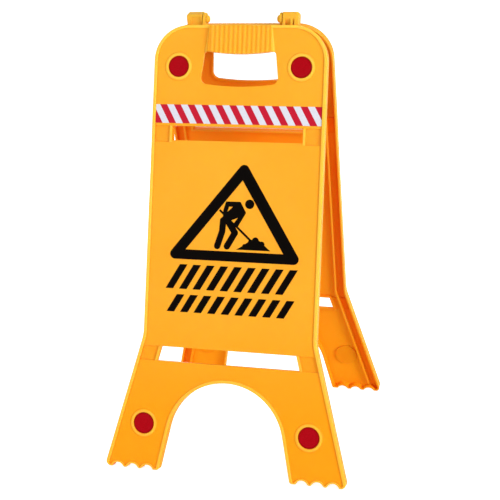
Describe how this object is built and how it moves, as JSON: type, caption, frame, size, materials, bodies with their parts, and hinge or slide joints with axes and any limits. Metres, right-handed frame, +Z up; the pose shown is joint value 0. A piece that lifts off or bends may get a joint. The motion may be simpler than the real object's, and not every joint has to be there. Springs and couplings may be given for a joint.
{
  "type": "a-frame caution sign",
  "caption": "Folding A-frame floor sign: two moulded plastic leaves hinged at the top, with ribbed grip, hand hole, slots, scalloped feet, round reflectors, striped tape and warning triangle.",
  "frame": {"origin": "centre of the bounding box at floor level, sign standing open", "axes": "+X along the hinge, to the right as the front face is read; +Z up; the front leaf faces -Y"},
  "size_m": [0.3296, 0.3282, 0.5998],
  "materials": {
    "leaf_plastic": "yellow-orange moulded polyethylene, satin",
    "pin_plastic": "yellow-orange moulded plastic, satin, smooth",
    "reflector_red": "clear red acrylic with a prismatic back, polished",
    "reflector_backing": "silvered disc",
    "tape_film": "reflective film with slanted red and white stripes",
    "print_film": "black printed film"
  },
  "bodies": {
    "front": {"front_leaf": "leaf_plastic", "hinge_pin_right": "pin_plastic", "reflector_lens_front_upper_left": "reflector_red", "reflector_lens_front_upper_right": "reflector_red", "reflector_lens_front_lower_left": "reflector_red", "reflector_lens_front_lower_right": "reflector_red", "reflector_backing_front_upper_left": "reflector_backing", "reflector_backing_front_upper_right": "reflector_backing", "reflector_backing_front_lower_left": "reflector_backing", "reflector_backing_front_lower_right": "reflector_backing", "striped_tape_front": "tape_film", "warning_pictogram_front": "print_film"},
    "rear": {"rear_leaf": "leaf_plastic", "hinge_pin_left": "pin_plastic", "reflector_lens_rear_upper_left": "reflector_red", "reflector_lens_rear_upper_right": "reflector_red", "reflector_lens_rear_lower_left": "reflector_red", "reflector_lens_rear_lower_right": "reflector_red", "reflector_backing_rear_upper_left": "reflector_backing", "reflector_backing_rear_upper_right": "reflector_backing", "reflector_backing_rear_lower_left": "reflector_backing", "reflector_backing_rear_lower_right": "reflector_backing", "striped_tape_rear": "tape_film", "warning_pictogram_rear": "print_film"}
  },
  "joints": [
    {"name": "fold", "type": "hinge", "parent": "front", "child": "rear", "pos_m": [0, 0, 0.59017], "axis": [-1, 0, 0], "range_deg": [0, 28.8]}
  ]
}
